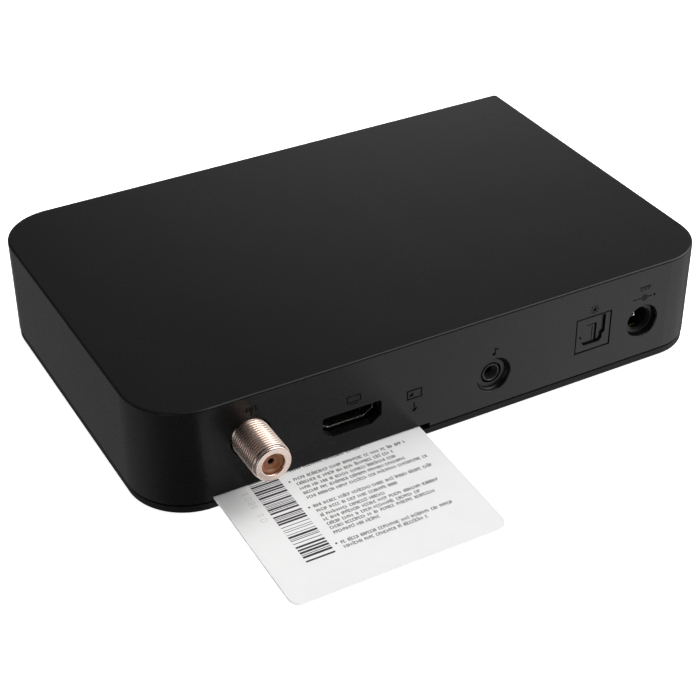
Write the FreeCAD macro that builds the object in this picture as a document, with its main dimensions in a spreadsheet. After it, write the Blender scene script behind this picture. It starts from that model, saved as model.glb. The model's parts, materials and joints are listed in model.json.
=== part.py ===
import FreeCAD, Part
import math
import os
import re

import Sketcher

V = FreeCAD.Vector
ROT = FreeCAD.Rotation

# A compact satellite television receiver, in millimetres.
# +Z is up, the front face looks along -Y, the connector face along +Y.
# The origin is on the plane that the feet stand on, under the middle of the case.
# "plus" and "minus" in a name tell the +X end of the case from the -X end.

doc = FreeCAD.newDocument("receiver")

# ---------------------------------------------------------------- dimensions

SIZES = [
    # case
    ("case_width", 154.5), ("case_depth", 100.5), ("case_height", 28.2), ("foot_proud", 0.8), ("datum_back", 0.25),
    ("wall", 2.25), ("top_plate", 2.2), ("floor_plate", 1.7), ("seam_height", 2.5), ("seam_gap", 0.5),
    ("corner_rear_plus", 14.75), ("corner_rear_minus", 13.25),
    ("corner_front_plus", 14.25), ("corner_front_minus", 1.05),
    ("top_edge_radius", 0.5), ("cover_edge_radius", 0.5), ("cover_inset", 0.12),
    ("lip_inset", 2.4), ("lip_thickness", 1.2), ("lip_height", 3.1),
    # pillars and screws that close the case
    ("pillar_radius", 3.0), ("pillar_bore", 1.5), ("pillar_end_z", 2.65),
    ("pillar_a_x", 68.4), ("pillar_a_y", 39.5), ("pillar_b_x", -66.0), ("pillar_b_y", 39.5),
    ("pillar_c_x", 66.5), ("pillar_c_y", -39.5), ("pillar_d_x", -68.5), ("pillar_d_y", -41.5),
    ("case_screw_head_radius", 2.6), ("case_screw_hole_radius", 1.6), ("screw_radius", 1.45),
    # circuit board
    ("board_bottom_z", 8.1), ("board_thickness", 1.6), ("board_half_width", 73.0), ("board_half_depth", 46.0),
    ("boss_radius", 3.2), ("boss_a_x", 69.2), ("boss_a_y", 5.0), ("boss_b_x", -69.3), ("boss_b_y", 18.0),
    ("boss_c_x", 52.0), ("boss_c_y", -41.5), ("boss_d_x", -52.0), ("boss_d_y", -41.5),
    # feet
    ("foot_radius", 4.0), ("foot_height", 1.45), ("foot_x", 61.5), ("foot_y", 32.5),
    # aerial input
    ("rf_x", 52.47), ("rf_z", 17.41), ("rf_end_y", 61.45), ("rf_wall_hole_radius", 5.0),
    ("rf_flange_radius", 6.0), ("thread_radius", 4.72), ("thread_root_radius", 4.28),
    ("thread_pitch", 0.79375), ("thread_start_y", 48.75), ("rf_bore_radius", 2.8), ("rf_nose_radius", 4.42),
    # digital video socket
    ("video_x", 26.64), ("video_z", 12.84), ("video_cut_half", 7.78), ("video_cut_rise", 3.01),
    ("video_cut_flat", 5.10), ("video_cut_knee", 1.10), ("video_shell_half", 7.42), ("video_shell_rise", 2.70),
    ("video_shell_flat", 4.90), ("video_shell_knee", 0.98), ("video_sheet", 0.32), ("video_mouth_y", 47.1),
    # smart card and its slot
    ("slot_low_x", 5.5), ("slot_high_x", 62.85), ("slot_low_z", 2.55), ("slot_high_z", 4.35),
    ("card_x", 35.3), ("card_width", 53.98), ("card_length", 85.6), ("card_thickness", 0.76),
    ("card_corner", 3.18), ("card_out", 39.63), ("card_top_z", 4.10), ("card_tilt", 2.0),
    # audio and video jack
    ("av_x", -12.29), ("av_z", 12.09), ("av_recess_radius", 4.6), ("av_recess_depth", 1.3),
    ("av_bore_radius", 1.8), ("av_ring_radius", 2.72),
    # optical output
    ("optical_x", -41.1), ("optical_low_x", -46.27), ("optical_high_x", -36.39),
    ("optical_low_z", 10.19), ("optical_high_z", 19.60), ("optical_gap", 0.36), ("optical_face_y", 50.18),
    ("hinge_y", 49.18), ("hinge_z", 18.75), ("hinge_pin_radius", 0.38), ("hinge_hole_radius", 0.45),
    # power inlet
    ("power_x", -56.48), ("power_z", 13.39), ("power_hole_radius", 4.5), ("power_face_y", 48.85),
    ("power_bore_radius", 3.05), ("power_pin_radius", 1.0), ("power_pin_tip_y", 46.9),
    # front window
    ("window_low_x", -40.0), ("window_high_x", -14.0), ("window_low_z", 11.0), ("window_high_z", 20.0),
]
D = dict(SIZES)

dims = doc.addObject("Spreadsheet::Sheet", "dims")
for row, (alias, value) in enumerate(SIZES, start=1):
    dims.set("A%d" % row, alias)
    dims.set("B%d" % row, "%g" % value)
    dims.setAlias("B%d" % row, alias)
doc.recompute()

WORD = re.compile(r"[A-Za-z_][A-Za-z_0-9]*")


def ex(text):
    """An expression in sheet names, as the document's expression engine reads it."""
    return WORD.sub(lambda m: "dims." + m.group(0) if m.group(0) in D else m.group(0), str(text))


def bind(obj, prop, text):
    obj.setExpression(prop, ex(text))
    return obj


def place(obj, x=None, y=None, z=None):
    for name, text in (("x", x), ("y", y), ("z", z)):
        if text is not None:
            bind(obj, "Placement.Base." + name, text)
    return obj


# heights and depths that are used again and again
CASE_LOW = "foot_proud"
SEAM_Z = "(foot_proud+seam_height)"
CASE_TOP = "(foot_proud+case_height)"
FLOOR_Z = "(foot_proud+floor_plate)"
REAR_Y = "(case_depth/2-datum_back)"   # the sockets' and the card's places are taken from a plane just inside the wall's outer face
BOARD_TOP = "(board_bottom_z+board_thickness)"

# ---------------------------------------------------------------- primitives


def box(name, x0, x1, y0, y1, z0, z1):
    o = doc.addObject("Part::Box", name)
    bind(o, "Length", "(%s)-(%s)" % (x1, x0))
    bind(o, "Width", "(%s)-(%s)" % (y1, y0))
    bind(o, "Height", "(%s)-(%s)" % (z1, z0))
    return place(o, x0, y0, z0)


TURNS = {"z": ROT(), "y": ROT(V(1, 0, 0), -90), "x": ROT(V(0, 1, 0), 90), "-y": ROT(V(1, 0, 0), 90)}


def cyl(name, radius, length, x, y, z, axis="z"):
    o = doc.addObject("Part::Cylinder", name)
    bind(o, "Radius", radius)
    bind(o, "Height", length)
    o.Placement = FreeCAD.Placement(V(0, 0, 0), TURNS[axis])
    return place(o, x, y, z)


def ball(name, radius, x, y, z):
    o = doc.addObject("Part::Sphere", name)
    bind(o, "Radius", radius)
    return place(o, x, y, z)


def fuse(name, parts):
    o = doc.addObject("Part::MultiFuse", name)
    o.Shapes = parts
    return o


def cut(name, base, tools):
    o = doc.addObject("Part::Cut", name)
    o.Base = base
    o.Tool = tools[0] if len(tools) == 1 else fuse(name + "_tools", tools)
    return o


def group(name, parts):
    o = doc.addObject("Part::Compound", name)
    o.Links = parts
    return o


# ---------------------------------------------------------------- sketches


def body(name):
    b = doc.addObject("PartDesign::Body", name)
    b.Label = name
    return b


def sketch(b, name, role, offset="0"):
    sk = b.newObject("Sketcher::SketchObject", name)
    sk.AttachmentSupport = ([f for f in b.Origin.OriginFeatures if f.Role == role][0], [""])
    sk.MapMode = "FlatFace"
    bind(sk, "AttachmentOffset.Base.z", offset)
    return sk


def at(sk, geo, pos, x, y):
    """Hold one point of the sketch at x, y, both expressions."""
    for kind, text in (("DistanceX", x), ("DistanceY", y)):
        c = sk.addConstraint(Sketcher.Constraint(kind, -1, 1, geo, pos, 1.0))
        label = "%s%d_%d" % (kind[-1].lower(), geo, pos)
        sk.renameConstraint(c, label)
        sk.setExpression("Constraints." + label, ex(text))


def polygon(sk, points):
    """A closed run of straight lines through points given as expression pairs."""
    n = len(points)
    first = len(sk.Geometry)
    ring = [V(5 * math.cos(2 * math.pi * i / n), 5 * math.sin(2 * math.pi * i / n), 0) for i in range(n)]
    for i in range(n):
        sk.addGeometry(Part.LineSegment(ring[i], ring[(i + 1) % n]), False)
    for i in range(n):
        sk.addConstraint(Sketcher.Constraint("Coincident", first + i, 2, first + (i + 1) % n, 1))
    for i, (x, y) in enumerate(points):
        at(sk, first + i, 1, x, y)


def rect(sk, x0, x1, y0, y1):
    polygon(sk, [(x0, y0), (x1, y0), (x1, y1), (x0, y1)])


def circle(sk, x, y, radius):
    i = sk.addGeometry(Part.Circle(V(0, 0, 0), V(0, 0, 1), 1.0), False)
    c = sk.addConstraint(Sketcher.Constraint("Radius", i, 1.0))
    label = "radius%d" % i
    sk.renameConstraint(c, label)
    sk.setExpression("Constraints." + label, ex(radius))
    at(sk, i, 3, x, y)


def rounded(sk, edges, radii):
    """A rectangle with its own radius at each corner, in the order ++, -+, --, +-.

    edges is (low x, high x, low y, high y) and radii four entries, each as (number, expression).
    """
    (x0, x1, y0, y1) = [e[0] for e in edges]
    r = [e[0] for e in radii]
    centres = [V(x1 - r[0], y1 - r[0], 0), V(x0 + r[1], y1 - r[1], 0), V(x0 + r[2], y0 + r[2], 0), V(x1 - r[3], y0 + r[3], 0)]
    first = len(sk.Geometry)
    for i in range(4):
        start = i * math.pi / 2
        sk.addGeometry(Part.ArcOfCircle(Part.Circle(centres[i], V(0, 0, 1), r[i]), start, start + math.pi / 2), False)
    ends = []
    for i in range(4):
        a, b = i * math.pi / 2, (i + 1) * math.pi / 2
        ends.append((centres[i] + V(r[i] * math.cos(a), r[i] * math.sin(a), 0), centres[i] + V(r[i] * math.cos(b), r[i] * math.sin(b), 0)))
    for i in range(4):
        sk.addGeometry(Part.LineSegment(ends[i][1], ends[(i + 1) % 4][0]), False)
    for i in range(4):
        sk.addConstraint(Sketcher.Constraint("Tangent", first + i, 2, first + 4 + i, 1))
        sk.addConstraint(Sketcher.Constraint("Tangent", first + 4 + i, 2, first + (i + 1) % 4, 1))
    for i, kind in enumerate(("Horizontal", "Vertical", "Horizontal", "Vertical")):
        sk.addConstraint(Sketcher.Constraint(kind, first + 4 + i))
    for i in range(4):
        c = sk.addConstraint(Sketcher.Constraint("Radius", first + i, r[i]))
        sk.renameConstraint(c, "radius%d" % (first + i))
        sk.setExpression("Constraints.radius%d" % (first + i), ex(radii[i][1]))
    for line, kind, (number, text) in ((4, "DistanceY", edges[3]), (5, "DistanceX", edges[0]), (6, "DistanceY", edges[2]), (7, "DistanceX", edges[1])):
        c = sk.addConstraint(Sketcher.Constraint(kind, -1, 1, first + line, 1, number))
        sk.renameConstraint(c, "side%d" % (first + line))
        sk.setExpression("Constraints.side%d" % (first + line), ex(text))


def case_outline(sk, *inset):
    """The plan of the case, moved in by the named sizes: three broad corners and one nearly square."""
    d = sum(D[name] for name in inset)
    e = "+".join(inset) or "0"
    hx, hy = D["case_width"] / 2 - d, D["case_depth"] / 2 - d
    edges = [(-hx, "-case_width/2+(%s)" % e), (hx, "case_width/2-(%s)" % e), (-hy, "-case_depth/2+(%s)" % e), (hy, "case_depth/2-(%s)" % e)]
    names = ("corner_rear_plus", "corner_rear_minus", "corner_front_minus", "corner_front_plus")
    radii = [(max(D[n] - d, 0.3), "max(%s-(%s); 0.3)" % (n, e)) for n in names]
    rounded(sk, edges, radii)


def pad(b, name, sk, length, reverse=False, symmetric=False):
    f = b.newObject("PartDesign::Pad", name)
    f.Profile = sk
    bind(f, "Length", length)
    f.Reversed = reverse
    if symmetric:
        f.SideType = "Symmetric"
    sk.Visibility = False
    doc.recompute()
    return f


def pocket(b, name, sk, length, reverse=False):
    before = b.Shape.Volume
    f = b.newObject("PartDesign::Pocket", name)
    f.Profile = sk
    bind(f, "Length", length)
    f.Reversed = reverse
    sk.Visibility = False
    doc.recompute()
    if not b.Shape.Volume < before - 1e-6:
        raise RuntimeError("%s cuts nothing" % name)
    return f


def edges_where(shape, test):
    return ["Edge%d" % (i + 1) for i, e in enumerate(shape.Edges) if test(e)]


def fillet(b, name, feature, edges, radius):
    f = b.newObject("PartDesign::Fillet", name)
    f.Base = (feature, edges)
    bind(f, "Radius", radius)
    doc.recompute()
    return f


def chamfer(b, name, feature, edges, size):
    f = b.newObject("PartDesign::Chamfer", name)
    f.Base = (feature, edges)
    bind(f, "Size", size)
    doc.recompute()
    return f


def on_y(e, y, around=None, radius=None):
    """Is this edge in the plane y, and if asked, a circle of this radius round the x, z given?"""
    bb = e.BoundBox
    if abs(bb.YMin - y) > 1e-4 or abs(bb.YMax - y) > 1e-4:
        return False
    if around is None:
        return True
    c = e.Curve
    return hasattr(c, "Radius") and abs(c.Radius - radius) < 1e-4 and abs(c.Center.x - around[0]) < 1e-3 and abs(c.Center.z - around[1]) < 1e-3


PILLARS = [("pillar_%s_x" % k, "pillar_%s_y" % k) for k in "abcd"]
BOSSES = [("boss_%s_x" % k, "boss_%s_y" % k) for k in "abcd"]
FEET = [("foot_x", "foot_y"), ("-foot_x", "foot_y"), ("-foot_x", "-foot_y"), ("foot_x", "-foot_y")]

PARTS = []


def keep(obj, name):
    obj.Label = name
    PARTS.append(obj)
    return obj


# ================================================================ upper housing
# One moulding: the top plate, the four walls with the openings for the sockets, and four screw pillars.

b = body("upper_housing")
sk = sketch(b, "uh_outline", "XY_Plane", SEAM_Z)
case_outline(sk)
f = pad(b, "uh_block", sk, "case_height-seam_height")
top_z = D["foot_proud"] + D["case_height"]
f = fillet(b, "uh_top_edge", f, edges_where(f.Shape, lambda e: e.BoundBox.ZMin > top_z - 1e-3), "top_edge_radius")
sk = sketch(b, "uh_hollow_outline", "XY_Plane", SEAM_Z)
case_outline(sk, "wall")
f = pocket(b, "uh_hollow", sk, "case_height-seam_height-top_plate", reverse=True)

sk = sketch(b, "uh_pillar_plan", "XY_Plane", CASE_TOP + "-top_plate+0.8")
for x, y in PILLARS:
    circle(sk, x, y, "pillar_radius")
f = pad(b, "uh_pillars", sk, CASE_TOP + "-top_plate+0.8-pillar_end_z", reverse=True)
sk = sketch(b, "uh_pillar_bore_plan", "XY_Plane", "pillar_end_z")
for x, y in PILLARS:
    circle(sk, x, y, "pillar_bore")
f = pocket(b, "uh_pillar_bores", sk, "13.5", reverse=True)

# the openings for the sockets, the card and the optical port, right through the connector wall
sk = sketch(b, "uh_socket_plan", "XZ_Plane", "-(%s+1)" % REAR_Y)
circle(sk, "rf_x", "rf_z", "rf_wall_hole_radius")
circle(sk, "power_x", "power_z", "power_hole_radius")
circle(sk, "av_x", "av_z", "av_ring_radius+0.13")
polygon(sk, [
    ("video_x-video_cut_flat", "video_z-video_cut_rise"), ("video_x+video_cut_flat", "video_z-video_cut_rise"),
    ("video_x+video_cut_half", "video_z-video_cut_knee"), ("video_x+video_cut_half", "video_z+video_cut_rise-0.5"),
    ("video_x+video_cut_half-0.5", "video_z+video_cut_rise"), ("video_x-video_cut_half+0.5", "video_z+video_cut_rise"),
    ("video_x-video_cut_half", "video_z+video_cut_rise-0.5"), ("video_x-video_cut_half", "video_z-video_cut_knee")])
rect(sk, "optical_low_x-optical_gap", "optical_high_x+optical_gap", "optical_low_z-optical_gap", "optical_high_z+optical_gap")
rect(sk, "slot_low_x", "slot_high_x", "slot_low_z", "slot_high_z")
f = pocket(b, "uh_sockets", sk, "wall+2", reverse=True)

# the round seat sunk round the audio and video jack
sk = sketch(b, "uh_av_seat_plan", "XZ_Plane", "-(%s+1)" % REAR_Y)
circle(sk, "av_x", "av_z", "av_recess_radius")
f = pocket(b, "uh_av_seat", sk, "av_recess_depth+1-datum_back", reverse=True)

rear = D["case_depth"] / 2
# the seat's wall runs into its floor in a soft hollow curve
f = fillet(b, "uh_av_seat_curve", f, edges_where(f.Shape, lambda e: on_y(e, rear - D["av_recess_depth"], (D["av_x"], D["av_z"]), D["av_recess_radius"])), "0.95")
rims = edges_where(f.Shape, lambda e: on_y(e, rear, (D["av_x"], D["av_z"]), D["av_recess_radius"])
                   or on_y(e, rear, (D["power_x"], D["power_z"]), D["power_hole_radius"])
                   or on_y(e, rear, (D["rf_x"], D["rf_z"]), D["rf_wall_hole_radius"]))
f = chamfer(b, "uh_socket_rims", f, rims, "0.22")


# the pictures cut beside the sockets: a mast with waves, a screen, a card with an arrow, a note, a light, a plug's polarity
def stroke(sk, x0, y0, x1, y1, width, cx, cy):
    """A straight stroke of the given width, as a slim rectangle turned to its own direction."""
    length = math.hypot(x1 - x0, y1 - y0)
    ux, uy = (x1 - x0) / length * width / 2, (y1 - y0) / length * width / 2
    pts = [(x0 - ux + uy, y0 - uy - ux), (x1 + ux + uy, y1 + uy - ux), (x1 + ux - uy, y1 + uy + ux), (x0 - ux - uy, y0 - uy + ux)]
    polygon(sk, [("%s+(%.4f)" % (cx, px), "%s+(%.4f)" % (cy, py)) for px, py in pts])


def ring(sk, x, y, r, width, cx, cy):
    circle(sk, "%s+(%.4f)" % (cx, x), "%s+(%.4f)" % (cy, y), "%.4f" % (r + width / 2))
    circle(sk, "%s+(%.4f)" % (cx, x), "%s+(%.4f)" % (cy, y), "%.4f" % (r - width / 2))


def frame(sk, x0, x1, y0, y1, width, cx, cy):
    for d in (0.0, width):
        rect(sk, "%s+(%.4f)" % (cx, x0 + d), "%s+(%.4f)" % (cx, x1 - d), "%s+(%.4f)" % (cy, y0 + d), "%s+(%.4f)" % (cy, y1 - d))


PEN = 0.34
sk = sketch(b, "uh_marks_plan", "XZ_Plane", "-(%s+1)" % REAR_Y)
# aerial: a mast under two rings
cx, cy = "rf_x-0.25", "rf_z+7.2"
stroke(sk, 0, -1.15, 0, -0.12, PEN, cx, cy)
ring(sk, 0, 0.52, 0.38, PEN * 0.8, cx, cy)
stroke(sk, -1.15, 0.0, -1.15, 1.05, PEN, cx, cy)
stroke(sk, 1.15, 0.0, 1.15, 1.05, PEN, cx, cy)
# screen on its stand
cx, cy = "video_x-0.4", "video_z+5.6"
frame(sk, -1.9, 1.9, -0.62, 1.35, PEN, cx, cy)
stroke(sk, -0.9, -1.1, 0.9, -1.1, PEN, cx, cy)
# card with its contact plate, and an arrow that points down to the slot
cx, cy = "10.0", "14.4"
frame(sk, -2.1, 2.1, -1.35, 1.35, PEN, cx, cy)
rect(sk, cx + "+0.35", cx + "+1.35", cy + "-0.5", cy + "+0.5")
cx, cy = "10.0", "10.2"
stroke(sk, 0, 1.5, 0, 0.35, PEN, cx, cy)
polygon(sk, [(cx + "-0.95", cy + "+0.1"), (cx, cy + "-1.0"), (cx + "+0.95", cy + "+0.1")])
# a note
cx, cy = "av_x+0.1", "av_z+6.9"
stem = [(-0.01, 1.10), (-0.31, 1.10), (-1.10, 0.50), (-1.10, 0.10), (-0.31, 0.66)]
head = [(0.14 + 0.45 * math.cos(math.radians(a)), -0.72 + 0.45 * math.sin(math.radians(a))) for a in list(range(180, 451, 30)) + [469.47]]
polygon(sk, [("%s+(%.4f)" % (cx, px), "%s+(%.4f)" % (cy, py)) for px, py in stem + head])
# a light with rays
cx, cy = "optical_x-0.1", "optical_high_z+2.1"
circle(sk, cx, cy, "0.48")
for k in range(8):
    a = k * math.pi / 4
    stroke(sk, 0.88 * math.cos(a), 0.88 * math.sin(a), 1.12 * math.cos(a), 1.12 * math.sin(a), 0.24, cx, cy)
# direct current, and a ring round a dot with a line to each side
cx, cy = "power_x", "power_z+9.7"
stroke(sk, -1.5, 0.45, 1.5, 0.45, 0.30, cx, cy)
for k in (-1.15, 0.0, 1.15):
    stroke(sk, k - 0.2, -0.25, k + 0.2, -0.25, 0.30, cx, cy)
cx, cy = "power_x", "power_z+7.05"
ring(sk, 0, 0, 0.72, 0.26, cx, cy)
circle(sk, cx, cy, "0.27")
stroke(sk, 1.15, 0, 2.1, 0, 0.24, cx, cy)
stroke(sk, -1.15, 0, -2.1, 0, 0.24, cx, cy)
stroke(sk, 2.62, 0, 3.42, 0, 0.26, cx, cy)
polygon(sk, [(cx + "-3.42", cy + "-0.13"), (cx + "-3.15", cy + "-0.13"), (cx + "-3.15", cy + "-0.40"), (cx + "-2.89", cy + "-0.40"),
             (cx + "-2.89", cy + "-0.13"), (cx + "-2.62", cy + "-0.13"), (cx + "-2.62", cy + "+0.13"), (cx + "-2.89", cy + "+0.13"),
             (cx + "-2.89", cy + "+0.40"), (cx + "-3.15", cy + "+0.40"), (cx + "-3.15", cy + "+0.13"), (cx + "-3.42", cy + "+0.13")])
f = pocket(b, "uh_marks", sk, "1.07", reverse=True)

# the opening for the front window
sk = sketch(b, "uh_window_plan", "XZ_Plane", "%s+1" % REAR_Y)
rect(sk, "window_low_x-0.12", "window_high_x+0.12", "window_low_z-0.12", "window_high_z+0.12")
f = pocket(b, "uh_window", sk, "wall+2")
keep(b, "upper_housing")

# ================================================================ bottom cover
# A shallow tray with a rounded lower edge, a lip that stands inside the walls, and bosses for the board.

b = body("bottom_cover")
sk = sketch(b, "bc_outline", "XY_Plane", CASE_LOW)
case_outline(sk, "cover_inset")
f = pad(b, "bc_block", sk, "seam_height-seam_gap")
low = D["foot_proud"]
f = fillet(b, "bc_lower_edge", f, edges_where(f.Shape, lambda e: e.BoundBox.ZMax < low + 1e-3), "cover_edge_radius")
sk = sketch(b, "bc_lip_plan", "XY_Plane", SEAM_Z + "-seam_gap-0.3")
case_outline(sk, "lip_inset")
f = pad(b, "bc_lip", sk, "lip_height+0.3")
sk = sketch(b, "bc_tray_plan", "XY_Plane", FLOOR_Z)
case_outline(sk, "lip_inset", "lip_thickness")
f = pocket(b, "bc_tray", sk, "12", reverse=True)
sk = sketch(b, "bc_boss_plan", "XY_Plane", FLOOR_Z + "-0.5")
for x, y in BOSSES:
    circle(sk, x, y, "boss_radius")
f = pad(b, "bc_bosses", sk, "board_bottom_z-%s+0.5" % FLOOR_Z)
sk = sketch(b, "bc_boss_bore_plan", "XY_Plane", "board_bottom_z")
for x, y in BOSSES:
    circle(sk, x, y, "pillar_bore")
f = pocket(b, "bc_boss_bores", sk, "5.2")
# the card's slot through the rim and the lip
sk = sketch(b, "bc_slot_plan", "XZ_Plane", "-(%s+1)" % REAR_Y)
rect(sk, "slot_low_x", "slot_high_x", "slot_low_z", "slot_high_z+6")
f = pocket(b, "bc_slot", sk, "5", reverse=True)
# holes for the case screws, with a seat for each head
sk = sketch(b, "bc_screw_plan", "XY_Plane", CASE_LOW)
for x, y in PILLARS:
    circle(sk, x, y, "case_screw_hole_radius")
f = pocket(b, "bc_screw_holes", sk, "floor_plate+1", reverse=True)
sk = sketch(b, "bc_screw_seat_plan", "XY_Plane", CASE_LOW)
for x, y in PILLARS:
    circle(sk, x, y, "case_screw_head_radius+0.25")
f = pocket(b, "bc_screw_seats", sk, "0.9", reverse=True)
# seats for the feet
sk = sketch(b, "bc_foot_plan", "XY_Plane", CASE_LOW)
for x, y in FEET:
    circle(sk, x, y, "foot_radius+0.2")
f = pocket(b, "bc_foot_seats", sk, "0.7", reverse=True)
# a shallow bare panel, for a rating plate
sk = sketch(b, "bc_plate_plan", "XY_Plane", CASE_LOW)
rounded(sk, [(-40.0, "-40"), (34.0, "34"), (-41.0, "-41"), (-13.0, "-13")], [(1.5, "1.5")] * 4)
f = pocket(b, "bc_plate_seat", sk, "0.2", reverse=True)
# a row of vents under the warmest part of the board
sk = sketch(b, "bc_vent_plan", "XY_Plane", CASE_LOW + "-1")
rounded(sk, [(-53.0, "-53"), (-51.4, "-51.4"), (6.0, "6"), (34.0, "34")], [(0.79, "0.79")] * 4)
f = pocket(b, "bc_vent", sk, "floor_plate+2", reverse=True)
pattern = b.newObject("PartDesign::LinearPattern", "bc_vents")
pattern.Originals = [f]
pattern.Direction = (sk, ["H_Axis"])
pattern.Length = 44.0
pattern.Occurrences = 12
b.Tip = pattern
doc.recompute()
keep(b, "bottom_cover")

# ================================================================ feet and screws

feet = []
for i, (x, y) in enumerate(FEET):
    disc = cyl("foot_disc_%d" % i, "foot_radius", "foot_height", x, y, "0")
    doc.recompute()
    soft = doc.addObject("Part::Fillet", "foot_%d" % i)
    soft.Base = disc
    rim = [n + 1 for n, e in enumerate(disc.Shape.Edges) if e.BoundBox.ZMax < 1e-4 and e.BoundBox.XLength > 1]
    soft.Edges = [(n, 0.35, 0.35) for n in rim]
    feet.append(soft)
keep(group("rubber_feet", feet), "rubber_feet")


def screw(name, x, y, head_z, head_height, down, length, head_radius):
    """A pan-head screw on a vertical axis; down is True where the head is at the top."""
    s = -1 if down else 1
    head = cyl(name + "_head", head_radius, head_height, x, y, "%s-%s" % (head_z, head_height if not down else "0"))
    shank_z = "(%s)-(%s)" % (head_z, length) if down else "%s" % head_z
    shank = cyl(name + "_shank", "screw_radius", length, x, y, shank_z)
    slots = []
    if down:
        z0, z1 = "(%s)+%s-0.6" % (head_z, head_height), "(%s)+%s+1" % (head_z, head_height)
    else:
        z0, z1 = "(%s)-%s-1" % (head_z, head_height), "(%s)-%s+0.5" % (head_z, head_height)
    slots.append(box(name + "_slot_a", "%s-1.4" % x, "%s+1.4" % x, "%s-0.32" % y, "%s+0.32" % y, z0, z1))
    slots.append(box(name + "_slot_b", "%s-0.32" % x, "%s+0.32" % x, "%s-1.4" % y, "%s+1.4" % y, z0, z1))
    return cut(name, fuse(name + "_blank", [head, shank]), slots)


keep(group("case_screws", [screw("case_screw_%d" % i, x, y, "(%s+0.88)" % CASE_LOW, "0.78", False, "12", "case_screw_head_radius")
                           for i, (x, y) in enumerate(PILLARS)]), "case_screws")
keep(group("board_screws", [screw("board_screw_%d" % i, x, y, "(%s+0.02)" % BOARD_TOP, "1.5", True, "6.2", "2.4")
                            for i, (x, y) in enumerate(BOSSES)]), "board_screws")

# ================================================================ main board
# The four corners are stepped back to clear the screw pillars.

b = body("main_board")
sk = sketch(b, "mb_outline", "XY_Plane", "board_bottom_z")
W, H = "board_half_width", "board_half_depth"
polygon(sk, [
    (W, "-34.9"), (W, "35.2"), ("65.0", "35.2"), ("65.0", H),
    ("-62.2", H), ("-62.2", "35.4"), ("-" + W, "35.4"), ("-" + W, "-37.0"),
    ("-64.4", "-37.0"), ("-64.4", "-" + H), ("62.4", "-" + H), ("62.4", "-34.9")])
f = pad(b, "mb_sheet", sk, "board_thickness")
sk = sketch(b, "mb_hole_plan", "XY_Plane", "board_bottom_z")
for x, y in BOSSES:
    circle(sk, x, y, "1.65")
f = pocket(b, "mb_holes", sk, "board_thickness+1", reverse=True)
keep(b, "main_board")

# ================================================================ aerial input: a threaded barrel on the tuner's can

b = body("rf_barrel")
sk = sketch(b, "rf_profile", "XY_Plane")
P = [("rf_bore_radius", "43.4"), ("3.55", "43.4"), ("3.55", "45.97"), ("rf_flange_radius", "45.97"), ("rf_flange_radius", "47.3"),
     ("thread_root_radius", "47.3"), ("thread_root_radius", "thread_start_y")]
TURNS_OF_THREAD = 15
for i in range(TURNS_OF_THREAD):
    y = "thread_start_y+%d*thread_pitch" % i
    # the first turns run out towards the shoulder, so their crests are lower
    crest = "thread_radius" if i > 1 else "thread_radius-0.16"
    P += [(crest, y + "+0.33*thread_pitch"), (crest, y + "+0.47*thread_pitch")]
    if i < TURNS_OF_THREAD - 1:
        P += [("thread_root_radius", y + "+0.80*thread_pitch"), ("thread_root_radius", y + "+1.0*thread_pitch")]
P += [("thread_root_radius", "thread_start_y+%d*thread_pitch+0.30" % (TURNS_OF_THREAD - 1) + "+0.5*thread_pitch"),
      ("rf_nose_radius", "rf_end_y-0.42"), ("rf_nose_radius-0.28", "rf_end_y"), ("rf_bore_radius+0.12", "rf_end_y"), ("rf_bore_radius", "rf_end_y-0.12")]
polygon(sk, P)
rev = b.newObject("PartDesign::Revolution", "rf_turned")
rev.Profile = sk
rev.ReferenceAxis = (sk, ["V_Axis"])
rev.Angle = 360
doc.recompute()
place(b, "rf_x", None, "rf_z")
keep(b, "rf_barrel")

b = body("rf_insulator")
sk = sketch(b, "ri_profile", "XY_Plane")
polygon(sk, [("0.72", "44.0"), ("2.74", "44.0"), ("2.74", "rf_end_y-0.75"), ("2.20", "rf_end_y-0.75"), ("1.75", "rf_end_y-1.25"),
             ("1.30", "rf_end_y-1.35"), ("0.98", "rf_end_y-1.85"), ("0.72", "rf_end_y-2.15")])
rev = b.newObject("PartDesign::Revolution", "ri_turned")
rev.Profile = sk
rev.ReferenceAxis = (sk, ["V_Axis"])
rev.Angle = 360
doc.recompute()
place(b, "rf_x", None, "rf_z")
keep(b, "rf_insulator")

# the socket that grips the cable's centre wire: a tube with two slits
tube = cut("rf_contact_tube", cyl("rf_contact_rod", "0.66", "17.5", "rf_x", "rf_end_y-20.1", "rf_z", "y"),
           [cyl("rf_contact_bore", "0.42", "9", "rf_x", "rf_end_y-11.0", "rf_z", "y"),
            box("rf_contact_slit_a", "rf_x-0.06", "rf_x+0.06", "rf_end_y-9", "rf_end_y", "rf_z-2", "rf_z+2"),
            box("rf_contact_slit_b", "rf_x-2", "rf_x+2", "rf_end_y-9", "rf_end_y", "rf_z-0.06", "rf_z+0.06")])
keep(tube, "rf_contact")

# the tuner's can, open above and below, its lid, and the tuner chip inside
CAN = ("36.5", "64.5", "4.0", "45.9", BOARD_TOP + "+0.15", "24.95")
can = cut("tuner_can_cut", box("tuner_can_block", *CAN),
          [box("tuner_can_inside", "36.9", "64.1", "4.4", "45.5", "9", "26"),
           cyl("tuner_can_hole", "3.65", "3", "rf_x", "44", "rf_z", "y")])
keep(can, "tuner_can")
lid = cut("tuner_lid_cut", box("tuner_lid_block", "36.1", "64.9", "3.6", "46.3", "23.95", "25.4"),
          [box("tuner_lid_inside", "36.44", "64.56", "3.94", "45.96", "23", "25.0")]
          + [cyl("tuner_lid_hole_%d" % i, "1.1", "3", "%g" % x, "%g" % y, "24") for i, (x, y) in enumerate([(44, 14), (57, 14), (50.5, 36)])])
keep(lid, "tuner_lid")
keep(box("tuner_chip", "46.5", "54.5", "20", "28", BOARD_TOP + "+0.1", BOARD_TOP + "+1.0"), "tuner_chip")

# ================================================================ digital video socket


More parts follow.
